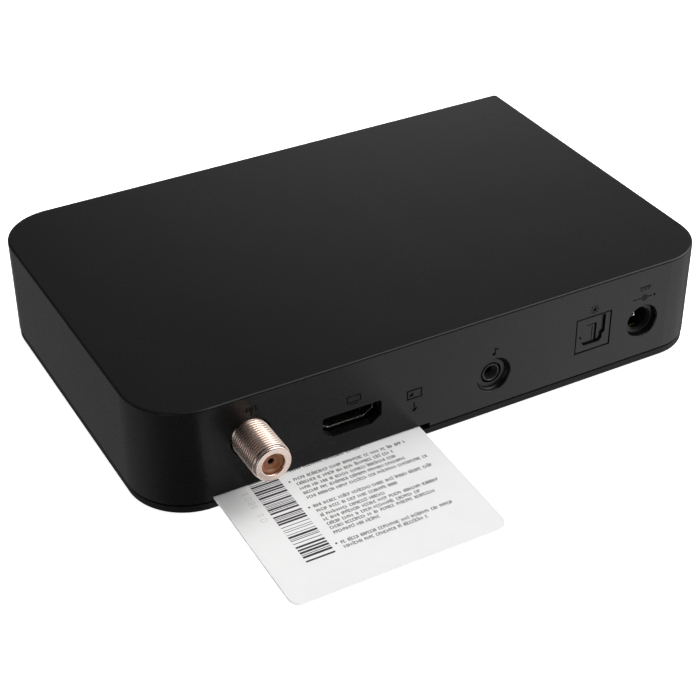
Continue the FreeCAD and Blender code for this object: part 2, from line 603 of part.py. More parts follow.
def video_outline(sk, half, rise, flat, knee):
    polygon(sk, [("video_x-(%s)" % flat, "video_z-(%s)" % rise), ("video_x+(%s)" % flat, "video_z-(%s)" % rise),
                 ("video_x+(%s)" % half, "video_z-(%s)" % knee), ("video_x+(%s)" % half, "video_z+(%s)-0.3" % rise),
                 ("video_x+(%s)-0.3" % half, "video_z+(%s)" % rise), ("video_x-(%s)+0.3" % half, "video_z+(%s)" % rise),
                 ("video_x-(%s)" % half, "video_z+(%s)-0.3" % rise), ("video_x-(%s)" % half, "video_z-(%s)" % knee)])


b = body("video_shell")
sk = sketch(b, "vs_plan", "XZ_Plane", "-video_mouth_y")
video_outline(sk, "video_shell_half", "video_shell_rise", "video_shell_flat", "video_shell_knee")
f = pad(b, "vs_block", sk, "video_mouth_y-37.5")
sk = sketch(b, "vs_hollow_plan", "XZ_Plane", "-(video_mouth_y+1)")
video_outline(sk, "video_shell_half-video_sheet", "video_shell_rise-video_sheet", "video_shell_flat-0.12", "video_shell_knee-0.10")
f = pocket(b, "vs_hollow", sk, "video_mouth_y+1-37.85", reverse=True)
# the feet that hold the shell to the board
sk = sketch(b, "vs_foot_plan", "XY_Plane", BOARD_TOP + "+0.02")
for x in ("video_x-video_shell_flat+0.6", "video_x+video_shell_flat-1.8"):
    for y in ("38.6", "43.4"):
        rect(sk, x, x + "+1.2", y, y + "+1.8")
f = pad(b, "vs_feet", sk, "video_z-video_shell_rise-%s+0.1" % BOARD_TOP)
keep(b, "video_shell")

b = body("video_tongue")
sk = sketch(b, "vt_plan", "XZ_Plane", "-40.2")
video_outline(sk, "video_shell_half-video_sheet-0.04", "video_shell_rise-video_sheet-0.04", "video_shell_flat-0.16", "video_shell_knee-0.12")
f = pad(b, "vt_block", sk, "2.2")
sk = sketch(b, "vt_tongue_plan", "XZ_Plane", "-45.5")
rounded(sk, [(D["video_x"] - 6.15, "video_x-6.15"), (D["video_x"] + 6.15, "video_x+6.15"), (D["video_z"] + 0.1, "video_z+0.1"), (D["video_z"] + 1.45, "video_z+1.45")],
        [(0.2, "0.2")] * 4)
f = pad(b, "vt_tongue", sk, "6.1")
keep(b, "video_tongue")

strips = []
for i in range(10):
    x = "video_x+(%.2f)" % (-4.5 + i)
    strips.append(box("video_contact_up_%d" % i, x + "-0.22", x + "+0.22", "40.25", "45.1", "video_z+1.452", "video_z+1.55"))
for i in range(9):
    x = "video_x+(%.2f)" % (-4.0 + i)
    strips.append(box("video_contact_down_%d" % i, x + "-0.22", x + "+0.22", "40.25", "45.1", "video_z+0.0", "video_z+0.098"))
keep(group("video_contacts", strips), "video_contacts")

# ================================================================ audio and video jack

blank = fuse("av_blank", [box("av_block", "av_x-6.0", "av_x+6.0", "33.8", "46.3", BOARD_TOP + "+0.05", "av_z+2.85"),
                          cyl("av_nose", "av_ring_radius+0.65", "1.75", "av_x", "46.05", "av_z", "y")])
jack = cut("av_cut", blank, [cyl("av_bore", "av_bore_radius", "14.5", "av_x", "34.4", "av_z", "y"),
                             cyl("av_ring_seat", "av_ring_radius+0.04", "4", "av_x", "46.4", "av_z", "y"),
                             box("av_slot_top", "av_x-0.40", "av_x+0.40", "36.0", "44.6", "av_z+1.2", "av_z+2.45"),
                             box("av_slot_side", "av_x-2.65", "av_x-1.2", "36.0", "44.6", "av_z-0.40", "av_z+0.40"),
                             box("av_slot_other", "av_x+1.2", "av_x+2.65", "36.0", "44.6", "av_z-0.40", "av_z+0.40")])
keep(jack, "av_jack_body")
keep(cut("av_ring_cut", cyl("av_ring_rod", "av_ring_radius", "2.6", "av_x", "46.42", "av_z", "y"),
         [cyl("av_ring_bore", "av_bore_radius", "6", "av_x", "44", "av_z", "y")]), "av_jack_ring")
keep(group("av_contacts_group", [
    box("av_contact_top", "av_x-0.33", "av_x+0.33", "36.2", "44.4", "av_z+1.95", "av_z+2.15"),
    box("av_contact_side", "av_x-2.35", "av_x-2.15", "36.2", "44.4", "av_z-0.33", "av_z+0.33"),
    box("av_contact_other", "av_x+2.15", "av_x+2.35", "36.2", "44.4", "av_z-0.33", "av_z+0.33")]), "av_jack_contacts")

# ================================================================ optical output


def port_outline(sk, d):
    """The plug's outline: a square with stepped sides and two cut lower corners; d moves it in all round."""
    half, low = 3.80 - d, 3.02 - d
    zs = (11.70 + d, 12.62 + d * 0.6, 13.70, 14.25, 19.36)
    right = [(2.28 - d * 0.5, zs[0]), (low, zs[1]), (low, zs[2] + d), (half, zs[3] + d), (half, zs[4])]
    pts = right + [(-x, z) for x, z in reversed(right)]
    polygon(sk, [("optical_x+(%.4f)" % x, "optical_high_z+(%.4f)" % (z - D["optical_high_z"])) for x, z in pts])


b = body("optical_housing")
sk = sketch(b, "oh_plan", "XZ_Plane", "-optical_face_y")
rect(sk, "optical_low_x", "optical_high_x", "optical_low_z", "optical_high_z")
f = pad(b, "oh_block", sk, "13.65")
sk = sketch(b, "oh_port_plan", "XZ_Plane", "-(optical_face_y+1)")
port_outline(sk, 0.0)
f = pocket(b, "oh_port", sk, "10.15", reverse=True)
sk = sketch(b, "oh_rear_plan", "XZ_Plane", "-36.0")
rect(sk, "optical_x-2.9", "optical_x+2.9", "11.4", "18.6")
f = pocket(b, "oh_rear_seat", sk, "3.6")
sk = sketch(b, "oh_lens_plan", "XZ_Plane", "-42.0")
circle(sk, "optical_x", "15.4", "1.4")
f = pocket(b, "oh_lens_hole", sk, "4", reverse=True)
sk = sketch(b, "oh_hinge_plan", "YZ_Plane", "-45.65")
circle(sk, "hinge_y", "hinge_z", "hinge_hole_radius")
f = pocket(b, "oh_hinge_holes", sk, "9.05", reverse=True)
sk = sketch(b, "oh_base_plan", "XY_Plane", BOARD_TOP + "+0.04")
rect(sk, "optical_low_x+0.5", "optical_high_x-0.5", "37.2", "45.4")
f = pad(b, "oh_base", sk, "optical_low_z-%s+0.2" % BOARD_TOP)
keep(b, "optical_housing")

# the door that closes the port: it swings in on two stub pins at its upper edge
b = body("optical_door")
sk = sketch(b, "od_plan", "XZ_Plane", "-(hinge_y+0.40)")
d = 0.22
half, low = 3.80 - d, 3.02 - d
right = [(2.28 - d * 0.5, 11.70 + d + 0.02), (low, 12.62 + d * 0.6 + 0.02), (low, 13.70 + d), (half, 14.25 + d), (half, 19.10)]
polygon(sk, [("optical_x+(%.4f)" % x, "optical_high_z+(%.4f)" % (z - D["optical_high_z"])) for x, z in right + [(-x, z) for x, z in reversed(right)]])
f = pad(b, "od_plate", sk, "0.8")
sk = sketch(b, "od_pin_plan", "YZ_Plane", "optical_x")
circle(sk, "hinge_y", "hinge_z", "hinge_pin_radius")
f = pad(b, "od_pins", sk, "8.6", symmetric=True)
# the panel sunk in the door's face, with a deeper channel along one side
sk = sketch(b, "od_groove_plan", "XZ_Plane", "-(hinge_y+1.40)")
polygon(sk, [("optical_x-1.62", "11.0"), ("optical_x-0.98", "11.0"), ("optical_x-0.98", "16.95"), ("optical_x+1.35", "16.95"), ("optical_x+1.35", "17.15"), ("optical_x-1.62", "17.15")])
f = pocket(b, "od_groove", sk, "1.42", reverse=True)
sk = sketch(b, "od_line_plan", "XZ_Plane", "-(hinge_y+1.40)")
rect(sk, "optical_x-0.40", "optical_x-0.22", "11.0", "16.6")
f = pocket(b, "od_line", sk, "1.14", reverse=True)
keep(b, "optical_door")

keep(fuse("optical_emitter_fuse", [
    box("optical_emitter_block", "optical_x-2.75", "optical_x+2.75", "36.7", "39.4", "11.6", "18.4"),
    cyl("optical_emitter_nose", "1.25", "1.3", "optical_x", "39.2", "15.4", "y")]), "optical_emitter")

# ================================================================ power inlet

blank = fuse("power_blank", [box("power_block", "power_x-4.5", "power_x+4.5", "35.6", "46.1", BOARD_TOP + "+0.05", "power_z+4.4"),
                             cyl("power_nose", "4.3", "3.0", "power_x", "power_face_y-3.0", "power_z", "y")])
# the lower front of the round nose is cut back to clear the board's edge
keep(cut("power_cut", blank, [cyl("power_bore", "power_bore_radius", "12", "power_x", "37.4", "power_z", "y"),
                              cyl("power_step", "power_bore_radius+0.35", "2", "power_x", "power_face_y-0.55", "power_z", "y"),
                              cyl("power_pin_seat", "power_pin_radius+0.30", "3", "power_x", "35", "power_z", "y"),
                              box("power_leaf_slot", "power_x-1.5", "power_x+1.5", "37.4", "46.8", "power_z-3.55", "power_z-2.0"),
                              box("power_nose_trim", "power_x-6", "power_x+6", "45.0", "46.08", "8", BOARD_TOP + "+0.05")]), "power_jack_body")
keep(fuse("power_pin_fuse", [cyl("power_pin_rod", "power_pin_radius", "power_pin_tip_y-36.2-1.0", "power_x", "36.2", "power_z", "y"),
                             cyl("power_pin_root", "power_pin_radius+0.27", "2.25", "power_x", "35.2", "power_z", "y"),
                             ball("power_pin_tip", "power_pin_radius", "power_x", "power_pin_tip_y-1.0", "power_z")]), "power_jack_pin")
keep(box("power_leaf", "power_x-1.25", "power_x+1.25", "37.6", "46.5", "power_z-3.35", "power_z-3.1"), "power_jack_spring")

# ================================================================ card reader, under the board
# The card's channel slopes by the card's own tilt, from the low slot in the case up towards the board.

RUN = "(card_length-card_out)"


def tilted_box(name, x0, x1, y0, y1, z0, z1):
    """A box in the card's own frame: y along the card from the outer wall face, z up from the card's upper face."""
    o = doc.addObject("Part::Box", name)
    bind(o, "Length", "(%s)-(%s)" % (x1, x0))
    bind(o, "Width", "(%s)-(%s)" % (y1, y0))
    bind(o, "Height", "(%s)-(%s)" % (z1, z0))
    bind(o, "Placement.Rotation.Angle", "-card_tilt")
    o.Placement = FreeCAD.Placement(V(0, 0, 0), ROT(V(1, 0, 0), -D["card_tilt"]))
    place(o, x0, "%s+(%s)*cos(card_tilt)+(%s)*sin(card_tilt)" % (REAR_Y, y0, z0), "card_top_z-(%s)*sin(card_tilt)+(%s)*cos(card_tilt)" % (y0, z0))
    return o


ex_tilt = re.compile(r"(sin|cos)\(dims\.card_tilt\)")
_ex = ex


def ex(text):
    """As before, with the card's tilt read in degrees by sin and cos."""
    return ex_tilt.sub(r"\1(dims.card_tilt * 1 deg)", _ex(text))


channel = tilted_box("reader_channel", "card_x-27.25", "card_x+27.25", "-(%s)-0.6" % RUN, "2", "-1.08", "0.32")
reader = cut("reader_cut", box("reader_block", "5.8", "64.8", "1.5", "45.6", "2.75", "7.85"),
             [channel,
              box("reader_window", "25.5", "39.0", "10.35", "28.02", "5.0", "9"),
              box("reader_light_a", "9.5", "23.5", "8.0", "40.0", "5.6", "9"),
              box("reader_light_b", "41.0", "61.0", "8.0", "40.0", "5.6", "9")])
keep(reader, "card_reader")

springs = []
CHIP_X = "(card_x-26.99+23.89)"
CHIP_Y = "(-(card_length-card_out)+15.06)"
for i, dx in enumerate((-3.81, -1.27, 1.27, 3.81)):
    for j, dy in enumerate((-3.81, 3.81)):
        s = 1 if j else -1
        x = "%s+(%.2f)" % (CHIP_X, dx)
        tip = tilted_box("reader_tip_%d%d" % (i, j), x + "-0.45", x + "+0.45", "%s+(%.2f)-0.5" % (CHIP_Y, dy), "%s+(%.2f)+0.5" % (CHIP_Y, dy), "0.10", "0.28")
        stem = tilted_box("reader_stem_%d%d" % (i, j), x + "-0.45", x + "+0.45", "%s+(%.2f)" % (CHIP_Y, min(dy + s * 0.3, dy + s * 0.5)), "%s+(%.2f)" % (CHIP_Y, max(dy + s * 0.3, dy + s * 0.5)), "0.10", "2.3")
        arm = tilted_box("reader_arm_%d%d" % (i, j), x + "-0.45", x + "+0.45", "%s+(%.2f)" % (CHIP_Y, min(dy + s * 0.3, dy + s * 5.0)), "%s+(%.2f)" % (CHIP_Y, max(dy + s * 0.3, dy + s * 5.0)), "2.12", "2.3")
        springs.append(fuse("reader_spring_%d%d" % (i, j), [tip, stem, arm]))
keep(group("reader_springs", springs), "reader_springs")

# the card itself, in its own tilted frame, with its contact plate let into the upper face
b = body("smart_card")
sk = sketch(b, "sc_outline", "XY_Plane", "-card_thickness")
hw = D["card_width"] / 2
inner = -(D["card_length"] - D["card_out"])
rounded(sk, [(-hw, "-card_width/2"), (hw, "card_width/2"), (inner, "-(card_length-card_out)"), (D["card_out"], "card_out")],
        [(D["card_corner"], "card_corner")] * 4)
f = pad(b, "sc_sheet", sk, "card_thickness")
sk = sketch(b, "sc_chip_plan", "XY_Plane", "1")
cxn, cyn = -hw + 23.89, inner + 15.06
CX, CY = "(-card_width/2+23.89)", "(-(card_length-card_out)+15.06)"
rounded(sk, [(cxn - 5.95, CX + "-5.95"), (cxn + 5.95, CX + "+5.95"), (cyn - 6.55, CY + "-6.55"), (cyn + 6.55, CY + "+6.55")], [(1.5, "1.5")] * 4)
f = pocket(b, "sc_chip_seat", sk, "1.25")
place(b, "card_x", REAR_Y, "card_top_z")
b.Placement = FreeCAD.Placement(V(D["card_x"], D["case_depth"] / 2 - D["datum_back"], D["card_top_z"]), ROT(V(1, 0, 0), -D["card_tilt"]))
keep(b, "smart_card")

b = body("card_chip")
sk = sketch(b, "cc_outline", "XY_Plane", "-0.22")
rounded(sk, [(cxn - 5.9, CX + "-5.9"), (cxn + 5.9, CX + "+5.9"), (cyn - 6.5, CY + "-6.5"), (cyn + 6.5, CY + "+6.5")], [(1.45, "1.45")] * 4)
f = pad(b, "cc_plate", sk, "0.2")
# the gaps between the eight contact fields
sk = sketch(b, "cc_gap_plan", "XY_Plane", "1")
for k in (-2.54, 0.0, 2.54):
    for s0, s1 in ((-6.6, -1.9), (1.9, 6.6)):
        rect(sk, CX + "+(%.2f)" % (k - 0.09), CX + "+(%.2f)" % (k + 0.09), CY + "+(%.2f)" % s0, CY + "+(%.2f)" % s1)
f = pocket(b, "cc_gaps", sk, "1.07")
place(b, "card_x", REAR_Y, "card_top_z")
b.Placement = FreeCAD.Placement(V(D["card_x"], D["case_depth"] / 2 - D["datum_back"], D["card_top_z"]), ROT(V(1, 0, 0), -D["card_tilt"]))
keep(b, "card_chip")

# ================================================================ what the board carries

keep(box("decoder_chip", "-17", "1", "-5", "13", BOARD_TOP + "+0.1", BOARD_TOP + "+1.3"), "decoder_chip")
keep(box("thermal_pad", "-16", "0", "-4", "12", BOARD_TOP + "+1.32", BOARD_TOP + "+1.80"), "thermal_pad")
b = body("heat_sink")
sk = sketch(b, "hs_base_plan", "XY_Plane", BOARD_TOP + "+1.82")
rect(sk, "-25", "9", "-13", "21")
f = pad(b, "hs_base", sk, "2.0")
sk = sketch(b, "hs_fin_plan", "XY_Plane", BOARD_TOP + "+3.6")
rect(sk, "-25", "-23.8", "-13", "21")
f = pad(b, "hs_fin", sk, "8.2")
pattern = b.newObject("PartDesign::LinearPattern", "hs_fins")
pattern.Originals = [f]
pattern.Direction = (sk, ["H_Axis"])
pattern.Length = 32.8
pattern.Occurrences = 11
b.Tip = pattern
doc.recompute()
keep(b, "heat_sink")

T = BOARD_TOP + "+0.08"


def chip(name, x, y, w, d, h):
    return box(name, "%g" % (x - w / 2), "%g" % (x + w / 2), "%g" % (y - d / 2), "%g" % (y + d / 2), T, T + "+%g" % h)


keep(group("memory_group", [chip("memory_a", 22, 10, 9, 13.5, 1.1), chip("memory_b", 22, -6, 9, 13.5, 1.1)]), "memory_chips")
keep(chip("flash_block", -8, -26, 12, 18, 1.1), "flash_chip")
keep(group("regulator_group", [chip("regulator_a", -35, 12, 4, 5, 1.5), chip("regulator_b", -35, 3, 4, 5, 1.5), chip("regulator_c", 46, -16, 4, 5, 1.5)]), "regulators")
coils = []
for i, (x, y, w) in enumerate([(-57.5, 26.5, 10.2), (-45, 26.5, 10.2), (-32.5, 26.5, 10.2), (56, -14, 8.2)]):
    core = chip("coil_core_%d" % i, x, y, w, w, 4.4)
    doc.recompute()
    soft = doc.addObject("Part::Chamfer", "coil_%d" % i)
    soft.Base = core
    soft.Edges = [(n + 1, 1.6, 1.6) for n, e in enumerate(core.Shape.Edges) if e.BoundBox.ZLength > 4]
    coils.append(soft)
keep(group("coil_group", coils), "power_coils")
cans = []
for i, (x, y, r, h) in enumerate([(-58, 12, 4, 11.5), (-47, 12, 4, 11.5), (-58, 1, 4, 11.5), (-47, 1, 4, 11.5), (32, -22, 3.15, 7.7)]):
    cans.append(fuse("capacitor_%d" % i, [cyl("capacitor_can_%d" % i, "%g" % r, "%g" % (h - 0.8), "%g" % x, "%g" % y, T + "+0.8"),
                                          chip("capacitor_base_%d" % i, x, y, 2 * r + 0.3, 2 * r + 0.3, 0.9)]))
keep(group("capacitor_group", cans), "capacitors")
keep(fuse("crystal_fuse", [chip("crystal_mid", 14, -26, 7.0, 4.6, 3.5),
                           cyl("crystal_end_a", "2.3", "3.5", "10.5", "-26", T), cyl("crystal_end_b", "2.3", "3.5", "17.5", "-26", T)]), "crystal")
small = []
spots = [(-26, 18), (-26, 14), (-26, 10), (-26, -2), (-26, -6), (12, 14), (12, 10), (12, 6), (12, 2), (12, -2), (12, -6), (28.6, 14), (28.6, 6), (28.6, -2),
         (-18, -18), (-18, -22), (-18, -26), (-18, -30), (2, -18), (2, -22), (34, -8), (38, -8), (42, -8), (50, -24), (56, -24), (-40, -20), (-44, -20), (-48, -20),
         (24, 34), (28, 34), (-24, 36), (-2, 36)]
for i, (x, y) in enumerate(spots):
    small.append(chip("passive_%d" % i, x, y, 1.9, 1.1, 0.8) if i % 2 else chip("passive_%d" % i, x, y, 1.1, 1.9, 0.7))
keep(group("passive_group", small), "passives")

# ================================================================ front: window, infrared receiver, standby light

keep(fuse("window_fuse", [box("window_plate", "window_low_x", "window_high_x", "-(case_depth/2)+0.05", "-(case_depth/2)+wall+0.3", "window_low_z", "window_high_z"),
                          box("window_flange", "window_low_x-1.2", "window_high_x+1.2", "-(case_depth/2)+wall+0.1", "-(case_depth/2)+wall+0.9", "window_low_z-1.0", "window_high_z+1.0")]), "front_window")
keep(fuse("infrared_fuse", [box("infrared_block", "-32.6", "-27.4", "-44.6", "-41.6", T, "17.4"), ball("infrared_lens", "1.9", "-30", "-44.6", "15.2")]), "infrared_receiver")
keep(cut("holder_cut", box("holder_block", "-22.6", "-17.4", "-46.9", "-40.9", T, "17.8"), [cyl("holder_bore", "1.62", "9", "-20", "-48", "15.3", "y")]), "light_holder")
keep(fuse("led_fuse", [cyl("led_rod", "1.5", "2.6", "-20", "-43.9", "15.3", "y"), ball("led_dome", "1.5", "-20", "-43.9", "15.3")]), "standby_led")
keep(cyl("light_pipe_rod", "1.5", "1.2", "-20", "-46.85", "15.3", "y"), "light_pipe")

# ================================================================ check and write

doc.recompute()
bad = [o.Name + " " + ",".join(o.State) for o in doc.Objects if "Invalid" in o.State or "Error" in o.State]
for o in PARTS:
    if o.Shape.isNull() or not o.Shape.isValid() or not o.Shape.Solids:
        bad.append(o.Label + " has no valid shape")
if bad:
    raise RuntimeError("; ".join(bad))
os.makedirs("parts", exist_ok=True)
for o in PARTS:
    o.Shape.exportStep("parts/%s.step" % o.Label)
print("%d sub-parts" % len(PARTS))
for o in PARTS:
    bb = o.Shape.BoundBox
    print("%-20s solids %2d  volume %9.1f  x %7.2f %7.2f  y %7.2f %7.2f  z %6.2f %6.2f" % (
        o.Label, len(o.Shape.Solids), o.Shape.Volume, bb.XMin, bb.XMax, bb.YMin, bb.YMax, bb.ZMin, bb.ZMax))
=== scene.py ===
import json
import math
import random

import bpy
import bmesh
from mathutils import Matrix, Vector


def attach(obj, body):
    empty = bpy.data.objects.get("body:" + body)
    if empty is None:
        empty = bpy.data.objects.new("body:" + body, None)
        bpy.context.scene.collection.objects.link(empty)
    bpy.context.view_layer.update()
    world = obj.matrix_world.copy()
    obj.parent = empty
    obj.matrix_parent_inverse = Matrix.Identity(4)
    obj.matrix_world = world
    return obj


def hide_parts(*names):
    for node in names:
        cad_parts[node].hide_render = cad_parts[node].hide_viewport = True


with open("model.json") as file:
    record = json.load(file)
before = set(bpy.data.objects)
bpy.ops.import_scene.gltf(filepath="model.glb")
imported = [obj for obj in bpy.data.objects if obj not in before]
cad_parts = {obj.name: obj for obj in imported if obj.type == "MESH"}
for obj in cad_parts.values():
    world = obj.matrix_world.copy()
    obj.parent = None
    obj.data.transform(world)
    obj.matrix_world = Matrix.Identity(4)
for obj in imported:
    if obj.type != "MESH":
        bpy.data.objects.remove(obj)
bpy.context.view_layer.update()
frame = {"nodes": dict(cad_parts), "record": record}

NODES = frame["nodes"]
MM = 0.001

scene = bpy.context.scene
scene.view_settings.view_transform = "Standard"
scene.view_settings.look = "None"
scene.view_settings.exposure = 0.0
scene.view_settings.gamma = 1.0


# ------------------------------------------------------------------ node helpers

class Graph:
    """A material's node tree, with short calls for the nodes used here."""

    def __init__(self, name):
        self.mat = bpy.data.materials.new(name + "_finish")
        self.mat.use_nodes = True
        self.t = self.mat.node_tree
        self.bsdf = next(n for n in self.t.nodes if n.type == "BSDF_PRINCIPLED")
        self.out = next(n for n in self.t.nodes if n.type == "OUTPUT_MATERIAL")
        self.coord = self.t.nodes.new("ShaderNodeTexCoord")
        self.place = self.coord.outputs["Object"]

    def link(self, a, b):
        self.t.links.new(a, b)

    def node(self, kind, **props):
        n = self.t.nodes.new(kind)
        for k, v in props.items():
            setattr(n, k, v)
        return n

    def put(self, n, socket, value):
        if isinstance(value, bpy.types.NodeSocket):
            self.link(value, n.inputs[socket])
        else:
            n.inputs[socket].default_value = value

    def scaled(self, sx, sy, sz, rotation=(0, 0, 0), source=None):
        n = self.node("ShaderNodeMapping")
        n.inputs["Scale"].default_value = (sx, sy, sz)
        n.inputs["Rotation"].default_value = rotation
        self.link(source or self.place, n.inputs["Vector"])
        return n.outputs["Vector"]

    def noise(self, scale, detail=3.0, rough=0.5, vector=None, distortion=0.0):
        n = self.node("ShaderNodeTexNoise")
        n.inputs["Scale"].default_value = scale
        n.inputs["Detail"].default_value = detail
        n.inputs["Roughness"].default_value = rough
        n.inputs["Distortion"].default_value = distortion
        self.link(vector or self.place, n.inputs["Vector"])
        return n.outputs["Fac"]

    def cells(self, scale, feature="F1", vector=None, randomness=1.0):
        n = self.node("ShaderNodeTexVoronoi", feature=feature)
        n.inputs["Scale"].default_value = scale
        n.inputs["Randomness"].default_value = randomness
        self.link(vector or self.place, n.inputs["Vector"])
        return n.outputs["Distance"]

    def span(self, value, a, b, c, d):
        """value from a..b to c..d, clamped."""
        n = self.node("ShaderNodeMapRange")
        self.link(value, n.inputs["Value"])
        for k, v in zip(("From Min", "From Max", "To Min", "To Max"), (a, b, c, d)):
            n.inputs[k].default_value = v
        return n.outputs["Result"]

    def maths(self, op, a, b=0.0, c=None):
        n = self.node("ShaderNodeMath", operation=op)
        for i, v in enumerate((a, b) if c is None else (a, b, c)):
            if isinstance(v, bpy.types.NodeSocket):
                self.link(v, n.inputs[i])
            else:
                n.inputs[i].default_value = v
        return n.outputs[0]

    def blend(self, factor, a, b):
        n = self.node("ShaderNodeMix", data_type="RGBA")
        for socket, v in ((n.inputs["Factor"], factor), (n.inputs[6], a), (n.inputs[7], b)):
            if isinstance(v, bpy.types.NodeSocket):
                self.link(v, socket)
            else:
                socket.default_value = v
        return n.outputs[2]

    def axes(self, source=None):
        n = self.node("ShaderNodeSeparateXYZ")
        self.link(source or self.place, n.inputs[0])
        return n.outputs

    def bump(self, height, depth, strength=1.0, normal=None):
        n = self.node("ShaderNodeBump")
        n.inputs["Strength"].default_value = strength
        n.inputs["Distance"].default_value = depth
        self.link(height, n.inputs["Height"])
        if normal is not None:
            self.link(normal, n.inputs["Normal"])
        return n.outputs["Normal"]

    def soft_edges(self, radius):
        n = self.node("ShaderNodeBevel")
        n.samples = 4
        n.inputs["Radius"].default_value = radius
        return n.outputs["Normal"]

    def finish(self, colour, rough, normal=None, **fixed):
        self.put(self.bsdf, "Base Color", colour)
        self.put(self.bsdf, "Roughness", rough)
        if normal is not None:
            self.link(normal, self.bsdf.inputs["Normal"])
        for k, v in fixed.items():
            self.bsdf.inputs[k.replace("_", " ")].default_value = v
        return self.mat


def grey(v, tint=(1.0, 1.0, 1.0)):
    return (v * tint[0], v * tint[1], v * tint[2], 1.0)


def moulded(name, low, high, rough, grain, depth, edge=0.0, tint=(1.0, 1.0, 1.0), specular=0.5, scuffs=0.0, dull_below=None):
    """A moulded plastic: spark-eroded grain, faint flow marks in the colour, and polish that differs from place to place."""
    g = Graph(name)
    flow = g.noise(26.0, 4.0, 0.55, vector=g.scaled(1.0, 0.35, 1.0))
    fine = g.noise(grain * 0.6, 2.0, 0.6)
    mix = g.maths("MULTIPLY_ADD", g.maths("SUBTRACT", fine, 0.5), 0.35, flow)
    colour = g.blend(g.span(mix, 0.3, 0.7, 0.0, 1.0), grey(low, tint), grey(high, tint))
    patch = g.noise(60.0, 5.0, 0.6)
    polish = g.maths("MULTIPLY_ADD", g.maths("SUBTRACT", patch, 0.5), 0.05, rough)
    if scuffs:
        lines = g.noise(420.0, 2.0, 0.5, vector=g.scaled(1.0, 9.0, 9.0, (0.0, 0.0, 0.5)))
        polish = g.maths("MULTIPLY_ADD", g.span(lines, 0.62, 0.72, 0.0, 1.0), scuffs, polish)
    if dull_below:
        x, y, z = g.axes()
        polish = g.maths("MULTIPLY_ADD", g.span(z, dull_below - 0.0001, dull_below, 1.0, 0.0), 0.22, polish)
    tooth = g.maths("MULTIPLY_ADD", g.cells(grain), 0.6, g.noise(grain * 1.4, 3.0, 0.6))
    edges = g.soft_edges(edge) if edge else None
    return g.finish(colour, polish, g.bump(tooth, depth, 1.0, edges), Specular_IOR_Level=specular)


def metal(name, colour, darker, rough, streak=(1.0, 1.0, 1.0), scratch=0.10, depth=2.0e-6, edge=0.0, scale=900.0):
    """A plated or bare metal: drawn or turned marks in the polish, faint stains in the colour."""
    g = Graph(name)
    stain = g.noise(240.0, 4.0, 0.6)
    tone = g.blend(g.span(stain, 0.35, 0.75, 0.0, 1.0), colour, darker)
    marks = g.noise(scale, 3.0, 0.6, vector=g.scaled(*streak))
    polish = g.maths("MULTIPLY_ADD", g.maths("SUBTRACT", marks, 0.5), scratch * 2, rough)
    edges = g.soft_edges(edge) if edge else None
    return g.finish(tone, polish, g.bump(marks, depth, 1.0, edges), Metallic=1.0)


# ------------------------------------------------------------------ materials, one for each of the record's slots

MATS = {}
MATS["case_plastic"] = moulded("case_plastic", 0.0040, 0.0052, 0.27, 3000.0, 2.0e-6, edge=0.00016, specular=0.18, scuffs=0.02, dull_below=0.0030)
MATS["port_plastic"] = moulded("port_plastic", 0.0052, 0.0066, 0.28, 3600.0, 2.5e-6, edge=0.00012, specular=0.19)
MATS["socket_black"] = moulded("socket_black", 0.004, 0.006, 0.45, 4200.0, 4.0e-6, edge=0.0001, specular=0.4)
MATS["reader_plastic"] = moulded("reader_plastic", 0.012, 0.018, 0.5, 3000.0, 6.0e-6, specular=0.4)
MATS["foot_rubber"] = moulded("foot_rubber", 0.014, 0.022, 0.78, 1500.0, 2.4e-5, edge=0.0002, specular=0.3)
MATS["chip_black"] = moulded("chip_black", 0.010, 0.014, 0.55, 5200.0, 6.0e-6, edge=0.00008)
MATS["sensor_epoxy"] = moulded("sensor_epoxy", 0.008, 0.012, 0.22, 900.0, 1.0e-6, tint=(1.0, 0.85, 0.9))
MATS["coil_ferrite"] = moulded("coil_ferrite", 0.055, 0.085, 0.62, 2600.0, 1.0e-5, edge=0.0001, tint=(1.0, 1.0, 1.04))
MATS["pad_grey"] = moulded("pad_grey", 0.20, 0.25, 0.8, 2000.0, 8.0e-6, tint=(0.95, 1.0, 1.05))

MATS["barrel_metal"] = metal("barrel_metal", (0.86, 0.71, 0.635, 1), (0.80, 0.64, 0.56, 1), 0.21, (1.0, 5.0, 1.0), 0.015, 1.0e-7, scale=1600.0)
MATS["contact_gold"] = metal("contact_gold", (0.93, 0.72, 0.36, 1), (0.85, 0.60, 0.27, 1), 0.22, (1.0, 6.0, 1.0), 0.06, edge=0.00003)
MATS["socket_metal"] = metal("socket_metal", (0.66, 0.655, 0.64, 1), (0.52, 0.51, 0.49, 1), 0.26, (1.0, 8.0, 1.0), 0.06, edge=0.00006, scale=1400.0)
MATS["tin_sheet"] = metal("tin_sheet", (0.79, 0.79, 0.77, 1), (0.66, 0.66, 0.63, 1), 0.30, (1.0, 12.0, 1.0), 0.08, edge=0.00008)
MATS["pin_metal"] = metal("pin_metal", (0.90, 0.895, 0.88, 1), (0.83, 0.82, 0.80, 1), 0.14, (1.0, 5.0, 1.0), 0.04, edge=0.00005, scale=1800.0)
MATS["screw_steel"] = metal("screw_steel", (0.10, 0.10, 0.105, 1), (0.055, 0.055, 0.06, 1), 0.34, (3.0, 3.0, 1.0), 0.08, 4.0e-6, edge=0.00008)
MATS["heat_sink_metal"] = metal("heat_sink_metal", (0.045, 0.045, 0.05, 1), (0.03, 0.03, 0.034, 1), 0.42, (1.0, 10.0, 1.0), 0.08, 3.0e-6, edge=0.00008)
MATS["capacitor_can"] = metal("capacitor_can", (0.80, 0.81, 0.83, 1), (0.70, 0.71, 0.73, 1), 0.28, (1.0, 1.0, 9.0), 0.08, edge=0.0001)
